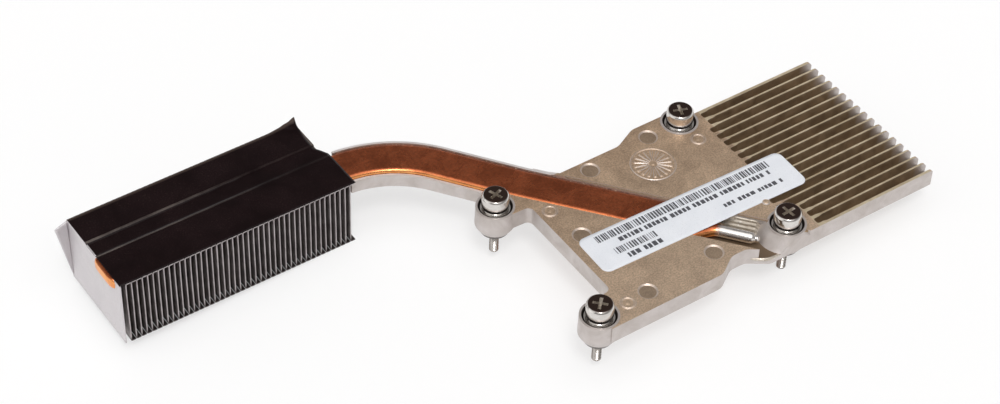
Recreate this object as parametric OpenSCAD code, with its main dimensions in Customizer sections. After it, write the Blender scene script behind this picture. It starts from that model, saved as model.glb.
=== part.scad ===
// Notebook processor cooler: a die-cast plate with four spring-loaded captive
// screws, cast fins at one end, and a flattened heat pipe that runs in a cast
// tray to a stamped fin stack in front of the blower.
// Z = 0 is the face that rests on the processor; X runs along the cast fins.

/* [Screw pattern] */
// Screw spacing along X
screw_dx = 57; // [50:0.5:64]
// Screw spacing along Y
screw_dy = 43.8; // [40:0.2:50]

/* [Cast plate] */
// Thickness of the plate
plate_t = 5; // [4.5:0.1:7]
// Distance of the plate's left edge inside the left screws
left_edge_in = 7.2; // [6:0.1:9]
// Distance of the front edge outside the front screws
front_edge_out = 5.2; // [4:0.1:5.4]
// Distance of the straight back edge outside the back screws
back_edge_out = 1; // [0:0.1:2]
// Distance of the back lug's edge outside the back screws
back_lug_out = 4.1; // [3.4:0.1:5]
// Depth of the scallop in the front edge
scallop_d = 3.6; // [2:0.1:5]
// Corner radius of the plate's outline
outline_r = 4; // [2:0.1:4.4]

/* [Cast fins] */
// Number of cast fins
cast_fins = 18; // [8:1:20]
// Thickness of a cast fin
cast_fin_t = 1; // [0.8:0.1:1.2]
// Reach of the fins past the right screws
cast_fin_reach = 43.6; // [25:0.2:60]
// Thickness of the floor under the fins
cast_floor = 1.6; // [1.2:0.1:2.4]

/* [Heat pipe] */
// Width of the flattened pipe
pipe_w = 10; // [8:0.1:10.4]
// Thickness of the flattened pipe
pipe_t = 3.2; // [2.6:0.1:3.6]
// Wall thickness of the pipe
pipe_wall = 0.4; // [0.3:0.05:0.6]
// Centreline radius of the main bend
bend_r = 30; // [24:0.5:34]
// Angle of the main bend
bend_a = 53; // [50.6:0.1:56]
// Angle of the run across the plate
run_a = 50.4; // [48:0.1:50.4]
// Y of the pipe in the fin stack
pipe_y = 55.2; // [50:0.2:62]
// X of the main bend's corner
corner_x = -40.6; // [-48:0.2:-38]
// Distance of the run across the plate from the pattern's centre
run_off = 2.2; // [1.6:0.1:3]
// Radius of the closed end tube
stub_r = 1.5; // [1:0.1:1.6]
// Distance of the closed end along the run
stub_end = 29.7; // [26:0.1:30.4]

/* [Tray] */
// Gap at each side of the pipe in its channel
channel_gap = 0.12; // [0.05:0.01:0.3]
// Wall thickness of the tray at each side
tray_wall = 0.65; // [0.5:0.05:0.9]

/* [Contact plate] */
// Side length of the contact plate
contact_w = 32; // [24:1:36]
// Thickness of the contact plate
contact_t = 2; // [1.2:0.1:3]

/* [Fin stack] */
// Number of stamped fins
fin_count = 45; // [11:2:45]
// Distance from one fin to the next
fin_pitch = 1.46; // [1.3:0.02:1.8]
// Sheet thickness of the fins
fin_t = 0.3; // [0.2:0.02:0.4]
// Height of the fins
fin_h = 19.9; // [16:0.1:26]
// Depth of the stack in front of the pipe's centre
stack_front = 7.6; // [6:0.1:12]
// Depth of the stack behind the pipe's centre
stack_back = 19.5; // [12:0.1:26]
// Width of the shallow relief behind the pipe
relief_w = 4.8; // [3:0.1:6]
// Reach of the flap bent outwards at the back of the end fin
flap_w = 3.8; // [2:0.1:5]

/* [Captive screws] */
// Radius of the screw head
head_r = 3.45; // [3:0.05:3.7]
// Height of the screw head
head_h = 3.8; // [3:0.1:5]
// Height of the head's underside above the plate
head_gap = 0.4; // [0.3:0.1:1]
// Radius of the flange under the head
flange_r = 3.85; // [3.6:0.05:3.95]
// Thickness of the flange
flange_t = 0.6; // [0.4:0.1:0.8]
// Radius of the shank in its bore
shank_r = 2; // [1.8:0.05:2.2]
// Radial clearance of the shank in its bore
shank_clear = 0.06; // [0.03:0.01:0.09]
// Radius of the threaded end
thread_r = 1.25; // [1:0.05:1.4]
// Length of the threaded end
thread_l = 6.2; // [4:0.1:8]
// Outer radius of the retaining ring
ring_r = 3.1; // [2.8:0.1:3.6]
// Thickness of the retaining ring
ring_t = 0.6; // [0.4:0.1:0.8]

/* [Screw bosses] */
// Radius of the counterbore
counterbore_r = 4.35; // [4.1:0.05:4.4]
// Wall between the counterbore and the boss's rim
rim_wall = 0.6; // [0.5:0.05:0.8]
// Reach of the bosses below the plate
boss_drop = 2.8; // [2:0.1:4]
// Thickness of the floor that the spring stands on
boss_floor = 2; // [1.6:0.1:3]

/* [Springs] */
// Wire diameter of the spring
wire_d = 0.5; // [0.4:0.05:0.6]
// Mean radius of the coils
coil_r = 3.3; // [3:0.05:3.5]
// Number of turns
coil_turns = 4.5; // [4:0.5:5]

/* [Tape and label] */
// Thickness of the tape over the fin stack
tape_t = 0.15; // [0.1:0.01:0.3]
// Height of the tape folded down the back of the stack
tape_fold = 2.4; // [1:0.1:6]
// Length of the label
label_l = 61.6; // [40:0.2:62]
// Width of the label
label_w = 12.8; // [8:0.1:14]
// Thickness of the label
label_t = 0.1; // [0.08:0.01:0.2]

/* [Hidden] */

$fn = 64;
cut = 1;                 // overshoot of cutting shapes
arc_steps = 6;           // chords in each rounded corner of an outline

// Heights
plate_z = contact_t;
top_z = plate_z + plate_t;
channel_z = plate_z + cast_floor;
pipe_z = channel_z + pipe_t/2;
boss_z = plate_z - boss_drop;
spring_seat_z = boss_z + boss_floor;
stack_z = top_z - fin_h;

// Screws: back left, front left, back right, front right
screw_x = screw_dx/2;
screw_y = screw_dy/2;
screws = [[-screw_x, screw_y], [-screw_x, -screw_y], [screw_x, screw_y], [screw_x, -screw_y]];
head_z = top_z + head_gap;
flange_gap = 0.75;       // neck between the head and its flange
neck_r = flange_r - 0.9;
flange_z = head_z - flange_gap - flange_t;
ring_play = 0.03;        // gap around the retaining ring
ring_top_z = boss_z - ring_play;
groove_z = ring_top_z - ring_t - ring_play;
groove_d = 0.45;         // depth of the groove for the ring
groove_r = shank_r - groove_d;
shoulder = 0.6;          // shank below the groove
thread_z = groove_z - shoulder;
tip_z = thread_z - thread_l;
recess_d = 1.7;          // depth of the cross recess
recess_r = 1.9;
recess_w = 0.8;

// Bosses have a slight draft and a broad chamfer round their foot
boss_rise = 0.2;         // rim above the plate
boss_draft = 0.1;
boss_chamfer = 1.4;
boss_top_r = counterbore_r + rim_wall;
boss_wide_r = boss_top_r + boss_draft;
boss_foot_r = boss_wide_r - boss_chamfer;
boss_wide_z = spring_seat_z + 0.4;
skirt_r = boss_top_r + 3.4;

// Plate outline
left_x = -screw_x + left_edge_in;
front_y = -screw_y - front_edge_out;
back_y = screw_y + back_edge_out;
lug_y = screw_y + back_lug_out;
fin_end_x = screw_x + cast_fin_reach;
fin_field = screw_y + back_edge_out*0.4 - front_y;
cast_pitch = (fin_field - cast_fin_t)/(cast_fins - 1);
function cast_fin_y(i) = front_y + cast_fin_t/2 + i*cast_pitch;
scallop_x = screw_x - 20.5;
scallop_w = 15.2;        // width of the scallop's mouth
scallop_run = 5.4;       // length of each of its sloping sides
lug_x = screw_x - 14.6;
lug_run = 6.4;           // length of the slope up to the lug
waist = 4.6;             // how far the left edge stays off the left screws
waist_run = 2;           // length of the slopes from the left edge to the bosses
waist_r = 1.6;
back_start = 15.5;       // start of the back edge, past the back left screw
nose_r = 0.8;            // round corners at the fins' end

// Pipe route: along the stack, round the main bend, a slight bend back, then
// straight across the plate. Each straight run is a start and a direction.
function along(a) = [cos(a), -sin(a)];
function across(a) = [sin(a), cos(a)];
bend_len = bend_r*tan(bend_a/2);
bend_x = corner_x - bend_len;
corner = [corner_x, pipe_y];
back_r = 40;             // radius of the slight bend back
back_a = bend_a - run_a;
back_len = back_r*tan(back_a/2);
arm_len = (corner*across(run_a) - run_off)/-(along(bend_a)*across(run_a));
knee = corner + arm_len*along(bend_a);
knee_s = knee*along(run_a);

bend_steps = 16;
back_steps = 2;
ring_steps = 8;
taper_steps = 4;
taper_s = stub_end - 16.7;   // where the pipe starts to narrow
stub_s = stub_end - 10.2;    // where its round end starts
end_round = 0.8;

// Channel
channel_hw = pipe_w/2 + channel_gap;
tray_hw = channel_hw + tray_wall;

// Fin stack
stack_right = bend_x + 1.1;
stack_left = stack_right - (fin_count - 1)*fin_pitch - fin_t;
stack_y0 = pipe_y - stack_front;
stack_y1 = pipe_y + stack_back;
notch_gap = 0.08;        // solder gap round the pipe
relief_y = pipe_y + pipe_w/2 + relief_w;
relief_d = 0.5;
flap_drop = 1.2;         // slope of the flap's top edge
fins_per_node = 2;
pipe_left = stack_left - 0.7;
tray_left = stack_right + 2;
stack_lap = 1.4;         // tape past the last fin

// Label, turned a little on the plate
label_at = [11.75, -6.1];
label_a = -1.45;
label_r = 2;

// Points of an outline whose corners are [x, y, radius]
function unit(v) = v/norm(v);
function wrap(a) = a > 180 ? a - 360 : a < -180 ? a + 360 : a;
function corner_arc(a, b, c, r) =
    let (u = unit(a - b), w = unit(c - b), half = acos(u*w)/2,
         m = b + unit(u + w)*r/sin(half),
         p = b + u*r/tan(half) - m, q = b + w*r/tan(half) - m,
         a0 = atan2(p.y, p.x), turn = wrap(atan2(q.y, q.x) - a0))
    [for (i = [0:arc_steps]) m + r*[cos(a0 + turn*i/arc_steps), sin(a0 + turn*i/arc_steps)]];
function flat(p) = [p.x, p.y];
function rounded(pts) = [
    for (i = [0:len(pts) - 1])
        let (n = len(pts), p = pts[i])
        each p.z == 0 ? [flat(p)]
            : corner_arc(flat(pts[(i + n - 1) % n]), flat(p), flat(pts[(i + 1) % n]), p.z)
];

module plate_outline() {
    fin_top = cast_fin_y(cast_fins - 1) + cast_fin_t/2;
    polygon(rounded([
        [left_x, -screw_y + waist + waist_r/2, waist_r],
        [-screw_x + waist_run, -screw_y + waist, 0],
        [-screw_x, -screw_y, 0],
        [-screw_x, front_y, 0],
        [scallop_x - scallop_run + waist_run, front_y, outline_r],
        [scallop_x + waist_run, front_y + scallop_d, outline_r],
        [scallop_x - scallop_run + scallop_w - waist_run*1.7, front_y + scallop_d, outline_r*0.8],
        [scallop_x - scallop_run + scallop_w + waist_run, front_y, outline_r*0.7],
        [fin_end_x, front_y, nose_r],
        [fin_end_x, fin_top, nose_r],
        [screw_x, fin_top, 0],
        [screw_x, lug_y, 0],
        [lug_x + lug_run*0.375, lug_y, outline_r],
        [lug_x - lug_run*0.625, back_y, outline_r],
        [-screw_x + back_start, back_y, 0],
        [knee.x - waist_r, knee.y, 0],
        [-screw_x, screw_y, 0],
        [-screw_x + waist_run, screw_y - waist, 0],
        [left_x, screw_y - waist - waist_r/8, waist_r],
    ]));
}

// Stations along the route, each [x, y, heading]
function on_bend(a) = [bend_x + bend_r*sin(a), pipe_y - bend_r*(1 - cos(a)), a];
function back_bend() =
    let (start = knee - back_len*along(bend_a), hub = start + back_r*across(bend_a))
    [
        for (i = [0:back_steps])
            let (a = bend_a - back_a*i/back_steps, p = hub - back_r*across(a))
            [p.x, p.y, a]
    ];
function on_run(s) = [run_off*sin(run_a) + s*cos(run_a), run_off*cos(run_a) - s*sin(run_a), run_a];
// The route starts in the stack or, further right, on the main bend
function route(from_x, to_s) =
    let (inside = from_x < bend_x, a0 = inside ? 0 : asin((from_x - bend_x)/bend_r))
    concat(
        inside ? [[from_x, pipe_y, 0]] : [],
        [for (i = [0:bend_steps]) on_bend(a0 + (bend_a - a0)*i/bend_steps)],
        back_bend(), [on_run(to_s)]);
function beside(st, off) = [st.x, st.y] + off*across(st.z);

// A strip of the plan along the route, off to each side
module strip(from_x, to_s, off) {
    path = route(from_x, to_s);
    n = len(path) - 1;
    polygon(concat([for (i = [0:n]) beside(path[i], off)], [for (i = [n:-1:0]) beside(path[i], -off)]));
}

// Ring of points round a flattened tube at a station
function tube_ring(st, half_w, half_t) = [
    for (k = [0:2*ring_steps + 1])
        let (s = k <= ring_steps ? 1 : -1,
             a = s*90 - 180*(k % (ring_steps + 1))/ring_steps,
             p = beside(st, s*(half_w - half_t) + half_t*cos(a)))
        [p.x, p.y, pipe_z + half_t*sin(a)]
];

module boss(p) {
    translate([p.x, p.y, 0]) rotate_extrude() polygon([
        [0, boss_z], [boss_foot_r, boss_z], [boss_wide_r, boss_wide_z],
        [boss_top_r, top_z + boss_rise], [0, top_z + boss_rise],
    ]);
}
// Skirt of the boss that stands in the channel, kept to the channel's floor
module boss_skirt(p) {
    low = channel_z - 0.6;
    intersection() {
        translate([p.x, p.y, low - 0.3])
            cylinder(h = top_z - low + 0.4, r1 = skirt_r, r2 = boss_top_r - 0.1);
        translate([0, 0, low]) linear_extrude(plate_t) plate_outline();
        translate([0, 0, low - 0.1]) linear_extrude(plate_t + 1)
            strip(tray_left, stub_end + 30, channel_hw + 0.4);
    }
}
module boss_bores(p) {
    translate([p.x, p.y, spring_seat_z]) cylinder(h = plate_t + boss_drop, r = counterbore_r);
    translate([p.x, p.y, boss_z - cut])
        cylinder(h = boss_floor + 2*cut, r = shank_r + shank_clear);
}

// A groove stops short of the screw bosses and of the label's flat
function groove_x(y) =
    y < -screw_y + 5 ? screw_x + 6.4
    : y < -screw_y + 14 ? screw_x + 1.4
    : y < screw_y - 6 ? screw_x + 4.8 : screw_x + 6.2;
module cast_groove(i) {
    gap = cast_pitch - cast_fin_t;
    y0 = cast_fin_y(i) + cast_fin_t/2;
    y1 = y0 + gap;
    x0 = groove_x(y0 + gap/2);
    // The mouth flares, so that each fin ends in a round nose
    nose = cast_fin_t*0.4;
    translate([0, 0, channel_z]) linear_extrude(plate_t) polygon(rounded([
        [x0, y1, gap*0.3], [x0, y0, gap*0.3],
        [fin_end_x, y0, nose], [fin_end_x, y0 - nose, 0], [fin_end_x + cut, y0 - nose, 0],
        [fin_end_x + cut, y1 + nose, 0], [fin_end_x, y1 + nose, 0], [fin_end_x, y1, nose],
    ]));
}

// Channel of the pipe, open at the tray's end and at the front edge
module channel() {
    translate([0, 0, channel_z]) linear_extrude(plate_t)
        strip(tray_left - cut, stub_end + 30, channel_hw);
}

module base_plate() color("#978873") {
    difference() {
        union() {
            difference() {
                union() {
                    translate([0, 0, plate_z]) linear_extrude(plate_t) plate_outline();
                    translate([0, 0, plate_z]) linear_extrude(plate_t)
                        strip(tray_left, knee_s + 6, tray_hw);
                    for (i = [0:2]) boss(screws[i]);
                }
                channel();
                for (i = [0:cast_fins - 2]) cast_groove(i);
            }
            boss(screws[3]);
            boss_skirt(screws[3]);
        }
        for (p = screws) boss_bores(p);
    }
}

// Flattened tube: rounded at its left end, pressed round and closed at the other
function tube_rings(inset) =
    let (w = pipe_w/2 - inset, t = pipe_t/2 - inset, r = stub_r - inset, end = stub_end - inset,
         left = pipe_left + inset)
    concat(
        [tube_ring([left, pipe_y, 0], w - end_round, t - end_round*0.6)],
        [tube_ring([left + end_round*0.4, pipe_y, 0], w - end_round*0.4, t - end_round*0.2)],
        [for (st = route(left + end_round, taper_s)) tube_ring(st, w, t)],
        [for (i = [1:taper_steps])
            let (u = i/taper_steps, v = u*u*(3 - 2*u))
            tube_ring(on_run(taper_s + u*(stub_s - taper_s)), w + (r - w)*v, t + (r - t)*v)],
        [for (a = [0, 30, 60, 80]) tube_ring(on_run(end - r*(1 - sin(a))), r*cos(a), r*cos(a))]
    );
module tube(inset) {
    rings = tube_rings(inset);
    n = len(rings[0]);
    last = len(rings) - 1;
    polyhedron([for (ring = rings) each ring], concat(
        [for (i = [0:last - 1], k = [0:n - 1])
            [i*n + k, i*n + (k + 1) % n, (i + 1)*n + (k + 1) % n, (i + 1)*n + k]],
        [[for (k = [n - 1:-1:0]) k], [for (k = [0:n - 1]) last*n + k]]));
}
module heat_pipe() color("#7a3a26") {
    difference() {
        tube(0);
        tube(pipe_wall);
    }
}

module contact_plate() color("#b87348") {
    h = contact_w/2;
    linear_extrude(contact_t)
        polygon(rounded([[-h, -h, 1.5], [h, -h, 1.5], [h, h, 1.5], [-h, h, 1.5]]));
}

// One stamped fin: a web with a notch for the pipe and flanges along its edges
module fin_web() {
    rotate([90, 0, 90]) linear_extrude(fin_t) difference() {
        translate([stack_y0, stack_z]) square([stack_y1 - stack_y0, fin_h]);
        translate([pipe_y, pipe_z]) {
            r = pipe_t/2 + notch_gap;
            half = pipe_w/2 - pipe_t/2;
            translate([-half, -r]) square([2*half, 2*r]);
            for (s = [-1, 1]) translate([s*half, 0]) circle(r, $fn = 32);
            translate([-half - r, 0]) square([2*(half + r), fin_h]);
        }
        translate([pipe_y, top_z - relief_d]) square([relief_y - pipe_y, fin_h]);
    }
}
module fin_flanges(reach) {
    front = pipe_w/2 + notch_gap;
    translate([fin_t, stack_y0, stack_z]) cube([reach - fin_t, stack_y1 - stack_y0, fin_t]);
    translate([fin_t, stack_y0, top_z - fin_t]) cube([reach - fin_t, stack_front - front, fin_t]);
    translate([fin_t, relief_y, top_z - fin_t]) cube([reach - fin_t, stack_y1 - relief_y, fin_t]);
}
module fin(i, reach = fin_pitch) {
    translate([stack_left + i*fin_pitch, 0, 0]) {
        fin_web();
        fin_flanges(reach);
    }
}
// Inside a group the flanges run into the next fin, and the last ones end at it
module fin_group(k) color("#9a999a") {
    for (j = [0:fins_per_node - 1])
        fin(1 + k*fins_per_node + j, j < fins_per_node - 1 ? fin_pitch + fin_t/2 : fin_pitch);
}
// The end fin stands first in the row; a narrow flap at its back is bent outwards
module fin_end() color("#c9c6c9") {
    fin(0);
    translate([stack_left, stack_y1, stack_z]) rotate([90, 0, 0]) linear_extrude(fin_t)
        polygon([[fin_t/2, 0], [fin_t/2, fin_h], [0, fin_h], [-flap_w, fin_h - flap_drop], [0, fin_t]]);
}

module insulating_tape() color("#15120f") {
    length = stack_right + stack_lap - stack_left;
    translate([stack_left, stack_y0, top_z]) cube([length, stack_y1 + tape_t - stack_y0, tape_t]);
    translate([stack_left, stack_y1, top_z - tape_fold]) cube([length, tape_t, tape_fold]);
}

module label() color("#e2e4ea") {
    l = label_l/2;
    w = label_w/2;
    translate([label_at.x, label_at.y, top_z]) rotate([0, 0, label_a]) linear_extrude(label_t)
        polygon(rounded([[-l, -w, label_r], [l, -w, label_r], [l, w, label_r], [-l, w, label_r]]));
}

module cross_recess() {
    intersection() {
        for (a = [0, 90]) rotate([0, 0, a])
            translate([-recess_r, -recess_w/2, -recess_d]) cube([2*recess_r, recess_w, recess_d + cut]);
        translate([0, 0, -recess_d]) cylinder(h = recess_d + cut, r1 = recess_r*0.35, r2 = recess_r*1.4);
    }
}
// Turned in one piece; the profile is radius against height
module screw(i) color("#c3bfb8") {
    edge = 0.35;
    translate([screws[i].x, screws[i].y, 0]) difference() {
        rotate_extrude() polygon([
            [0, tip_z], [thread_r - 0.4, tip_z], [thread_r, tip_z + 0.5],
            [thread_r, thread_z], [shank_r, thread_z], [shank_r, groove_z],
            [groove_r, groove_z], [groove_r, ring_top_z + ring_play],
            [shank_r, ring_top_z + ring_play], [shank_r, flange_z],
            [flange_r, flange_z], [flange_r, flange_z + flange_t],
            [neck_r, flange_z + flange_t], [neck_r, head_z],
            [head_r, head_z], [head_r, head_z + head_h - edge],
            [head_r - edge, head_z + head_h], [0, head_z + head_h],
        ]);
        translate([0, 0, head_z + head_h]) rotate([0, 0, 20 + 25*i]) cross_recess();
    }
}

// Open ring that snaps into the groove under the boss
module retaining_ring(i) color("#8e8c88") {
    translate([screws[i].x, screws[i].y, ring_top_z - ring_t]) difference() {
        cylinder(h = ring_t, r = ring_r);
        translate([0, 0, -cut]) cylinder(h = ring_t + 2*cut, r = groove_r + 0.05);
        rotate([0, 0, 45 + 90*i]) translate([0, -groove_r*0.8, -cut])
            cube([ring_r + cut, groove_r*1.6, ring_t + 2*cut]);
    }
}

// Compression spring: closed end coils, open coils between them
sides = 6;
turn_steps = 12;
spring_play = 0.03;
spring_z0 = spring_seat_z + spring_play + wire_d/2;
spring_z1 = flange_z - spring_play - wire_d/2;
end_rise = wire_d*1.03;
open_rise = (spring_z1 - spring_z0 - 2*end_rise)/(coil_turns - 2);
function coil_z(t) =
    t < 1 ? t*end_rise
    : t < coil_turns - 1 ? end_rise + (t - 1)*open_rise
    : end_rise + (coil_turns - 2)*open_rise + (t - coil_turns + 1)*end_rise;
module spring(i) color("#b9bcc0") {
    rings = round(coil_turns*turn_steps);
    points = [
        for (k = [0:rings], s = [0:sides - 1])
            let (t = k/turn_steps, a = 360*t, b = 360*s/sides, r = coil_r + wire_d/2*cos(b))
            [r*cos(a), r*sin(a), spring_z0 + coil_z(t) + wire_d/2*sin(b)]
    ];
    sheath = [
        for (k = [0:rings - 1], s = [0:sides - 1])
            let (a = k*sides + s, b = k*sides + (s + 1) % sides)
            [a, a + sides, b + sides, b]
    ];
    caps = [[for (s = [0:sides - 1]) s], [for (s = [sides - 1:-1:0]) rings*sides + s]];
    translate([screws[i].x, screws[i].y, 0])
        polyhedron(points, concat(sheath, caps));
}

base_plate();
heat_pipe();
contact_plate();
fin_end();
fin_group(0);  // fins_01
fin_group(1);  // fins_02
fin_group(2);  // fins_03
fin_group(3);  // fins_04
fin_group(4);  // fins_05
fin_group(5);  // fins_06
fin_group(6);  // fins_07
fin_group(7);  // fins_08
fin_group(8);  // fins_09
fin_group(9);  // fins_10
fin_group(10);  // fins_11
fin_group(11);  // fins_12
fin_group(12);  // fins_13
fin_group(13);  // fins_14
fin_group(14);  // fins_15
fin_group(15);  // fins_16
fin_group(16);  // fins_17
fin_group(17);  // fins_18
fin_group(18);  // fins_19
fin_group(19);  // fins_20
fin_group(20);  // fins_21
fin_group(21);  // fins_22
insulating_tape();
label();
screw(0);  // screw_1
screw(1);  // screw_2
screw(2);  // screw_3
screw(3);  // screw_4
spring(0);  // spring_1
spring(1);  // spring_2
spring(2);  // spring_3
spring(3);  // spring_4
retaining_ring(0);  // retaining_ring_1
retaining_ring(1);  // retaining_ring_2
retaining_ring(2);  // retaining_ring_3
retaining_ring(3);  // retaining_ring_4
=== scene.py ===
import math
import bmesh
import bpy
import numpy as np
from mathutils import Matrix, Vector


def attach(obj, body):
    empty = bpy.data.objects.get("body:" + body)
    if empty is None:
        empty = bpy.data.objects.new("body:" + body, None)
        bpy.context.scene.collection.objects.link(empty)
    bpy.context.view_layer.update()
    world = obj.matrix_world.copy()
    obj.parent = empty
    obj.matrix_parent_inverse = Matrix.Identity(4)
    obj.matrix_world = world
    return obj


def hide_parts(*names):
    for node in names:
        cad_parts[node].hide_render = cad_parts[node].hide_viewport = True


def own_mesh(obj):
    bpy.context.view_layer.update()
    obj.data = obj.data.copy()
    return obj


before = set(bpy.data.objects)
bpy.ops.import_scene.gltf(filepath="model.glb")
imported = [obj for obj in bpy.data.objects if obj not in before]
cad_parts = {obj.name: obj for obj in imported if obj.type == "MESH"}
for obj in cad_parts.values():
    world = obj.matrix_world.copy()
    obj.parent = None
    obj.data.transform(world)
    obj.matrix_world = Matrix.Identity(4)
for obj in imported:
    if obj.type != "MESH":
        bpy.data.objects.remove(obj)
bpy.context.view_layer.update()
scene = bpy.context.scene

# ---- Camera ----
# The cooler was photographed from the front left, 44 degrees above it, with
# the fin stack nearest. Place and directions were fitted to its edges.
eye = Vector((-0.293778, -0.346358, 0.452627))
sight = Vector((0.41922, 0.57890, -0.69938)).normalized()
camera_right = Vector((0.82501, -0.56446, 0.02731)).normalized()
camera_up = camera_right.cross(sight)
camera_data = bpy.data.cameras.new("photo_camera")
camera_data.sensor_width = 36.0
camera_data.lens = 92.88
camera_data.clip_start = 0.01
camera_data.clip_end = 20.0
camera = bpy.data.objects.new("photo_camera", camera_data)
camera.matrix_world = Matrix((
    (camera_right.x, camera_up.x, -sight.x, eye.x),
    (camera_right.y, camera_up.y, -sight.y, eye.y),
    (camera_right.z, camera_up.z, -sight.z, eye.z),
    (0, 0, 0, 1),
))
scene.collection.objects.link(camera)
scene.camera = camera
scene.view_settings.view_transform = "Standard"

# ---- White sheet and studio light ----
# The cooler lies on a white sheet, on the right bottom edge of its fin stack
# and the tips of two screws, so the sheet is tilted in the cooler's own frame.


def add_node(tree, kind, inputs=None, **settings):
    """Adds a shader node. Each input is a number, a colour or a socket to link."""
    new = tree.nodes.new(kind)
    for key, value in settings.items():
        setattr(new, key, value)
    for key, value in (inputs or {}).items():
        if isinstance(value, bpy.types.NodeSocket):
            tree.links.new(value, new.inputs[key])
        else:
            new.inputs[key].default_value = value
    return new


def calc(tree, operation, *values):
    """The result of a math node on numbers or sockets."""
    return add_node(tree, "ShaderNodeMath", dict(enumerate(values)), operation=operation).outputs[0]


def new_tree(name):
    """A material with an empty node tree."""
    made = bpy.data.materials.new(name)
    made.use_nodes = True
    made.node_tree.nodes.clear()
    return made, made.node_tree


def finish_material(tree, shader):
    """Links a shader to the material's output."""
    output = tree.nodes.new("ShaderNodeOutputMaterial")
    tree.links.new(shader.outputs[0], output.inputs["Surface"])


def make_mesh(name, points, faces, smooth=True, sharp_angle=None):
    """A piece from points in millimetres and faces, put in place in metres."""
    mesh = bpy.data.meshes.new(name)
    mesh.from_pydata((np.asarray(points, float) * 0.001).tolist(), [], faces)
    mesh.validate()
    if smooth:
        mesh.polygons.foreach_set("use_smooth", [True] * len(mesh.polygons))
        if sharp_angle:
            mesh.set_sharp_from_angle(angle=math.radians(sharp_angle))
    mesh.update()
    made = bpy.data.objects.new(name, mesh)
    scene.collection.objects.link(made)
    return made


# Where the stack's bottom edge and the screws' tips touch the sheet
stack_foot_x, stack_foot_z = -53.3, -12.9
tip_x, tip_z = 28.5, -8.26
sheet_half, sheet_glow = 4000.0, 0.6
sheet_x = np.array([-1, 1, 1, -1]) * sheet_half
sheet_y = np.array([-1, -1, 1, 1]) * sheet_half
sheet_z = stack_foot_z + (sheet_x - stack_foot_x) * (tip_z - stack_foot_z) / (tip_x - stack_foot_x)
white_sheet = make_mesh("white_sheet", np.stack([sheet_x, sheet_y, sheet_z], 1), [(0, 1, 2, 3)], smooth=False)
sheet_material, tree = new_tree("white_sheet")
rays = add_node(tree, "ShaderNodeLightPath").outputs
seen = calc(tree, "MAXIMUM", rays["Is Camera Ray"], rays["Is Glossy Ray"])
seen = calc(tree, "MAXIMUM", seen, rays["Is Transmission Ray"])
share = calc(tree, "MULTIPLY", seen, sheet_glow)
matt = add_node(tree, "ShaderNodeBsdfDiffuse", {"Color": (0.94, 0.94, 0.94, 1)})
glow = add_node(tree, "ShaderNodeEmission", {"Color": (1, 1, 1, 1), "Strength": 1.0})
paper_white = add_node(tree, "ShaderNodeMixShader", {0: share, 1: matt.outputs[0], 2: glow.outputs[0]})
finish_material(tree, paper_white)
white_sheet.data.materials.append(sheet_material)


def sun(name, direction, strength, width):
    """A lamp far away that shines along a direction, with a soft edge."""
    data = bpy.data.lights.new(name, "SUN")
    data.energy = strength
    data.angle = math.radians(width)
    lamp = bpy.data.objects.new(name, data)
    lamp.rotation_mode = "QUATERNION"
    lamp.rotation_quaternion = Vector(direction).to_track_quat("-Z", "Y")
    scene.collection.objects.link(lamp)


sun("window", (0.25, 0.45, -0.86), 1.10, 16)
sun("ceiling", (0.10, 0.25, -0.96), 1.15, 70)
sun("lamp_left", (0.85, -0.25, -0.55), 0.35, 50)

world = bpy.data.worlds.new("room")
world.use_nodes = True
scene.world = world
tree = world.node_tree
tree.nodes.clear()
direction = add_node(tree, "ShaderNodeTexCoord").outputs["Generated"]
height = add_node(tree, "ShaderNodeSeparateXYZ", {0: direction}).outputs["Z"]
sky = add_node(tree, "ShaderNodeValToRGB", {0: height})
sky.color_ramp.elements[0].position = 0.06
sky.color_ramp.elements[0].color = (1.0, 1.0, 1.0, 1)
sky.color_ramp.elements[1].position = 0.42
sky.color_ramp.elements[1].color = (0.29, 0.28, 0.275, 1)
seen = add_node(tree, "ShaderNodeLightPath").outputs["Is Camera Ray"]
shown = add_node(tree, "ShaderNodeMix", {"Factor": seen, "A": sky.outputs["Color"], "B": (1, 1, 1, 1)},
                 data_type="RGBA")
room = add_node(tree, "ShaderNodeBackground", {"Color": shown.outputs["Result"], "Strength": 1.0})
tree.links.new(room.outputs[0], tree.nodes.new("ShaderNodeOutputWorld").inputs["Surface"])

# ---- Die-cast plate ----
# One aluminium casting: plate, four screw bosses, the heat pipe's tray and the
# cast fins. Its top is stained from use, with sunk ejector marks and dials.
screw_places = [(-28.5, 21.9), (-28.5, -21.9), (28.5, 21.9), (28.5, -21.9)]
plate_top = 7.0
run_angle = math.radians(50.4)
run_along = np.array([math.cos(run_angle), -math.sin(run_angle)])
run_across = np.array([math.sin(run_angle), math.cos(run_angle)])


def edit_mesh(piece, work):
    """Runs an edit on a piece's mesh."""
    shape = bmesh.new()
    shape.from_mesh(piece.data)
    work(shape)
    shape.to_mesh(piece.data)
    shape.free()


def merged_copy(node_name, new_name):
    """A copy of a CAD node's mesh with its corners joined and flat faces whole."""
    made = bpy.data.objects.new(new_name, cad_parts[node_name].data.copy())
    scene.collection.objects.link(made)

    def join(shape):
        """Joins points that lie on each other and faces that lie in one plane."""
        bmesh.ops.remove_doubles(shape, verts=shape.verts, dist=1e-6)
        bmesh.ops.dissolve_limit(shape, angle_limit=math.radians(0.4), verts=shape.verts, edges=shape.edges)

    edit_mesh(made, join)
    made.data.materials.clear()
    return made


def tube_faces(rows, columns):
    """Quads of a tube that is closed round its section."""
    i, j = np.meshgrid(np.arange(rows - 1), np.arange(columns), indexing="ij")
    a = i * columns + j
    b = i * columns + (j + 1) % columns
    return np.stack([a, b, b + columns, a + columns], -1).reshape(-1, 4).tolist()


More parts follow.
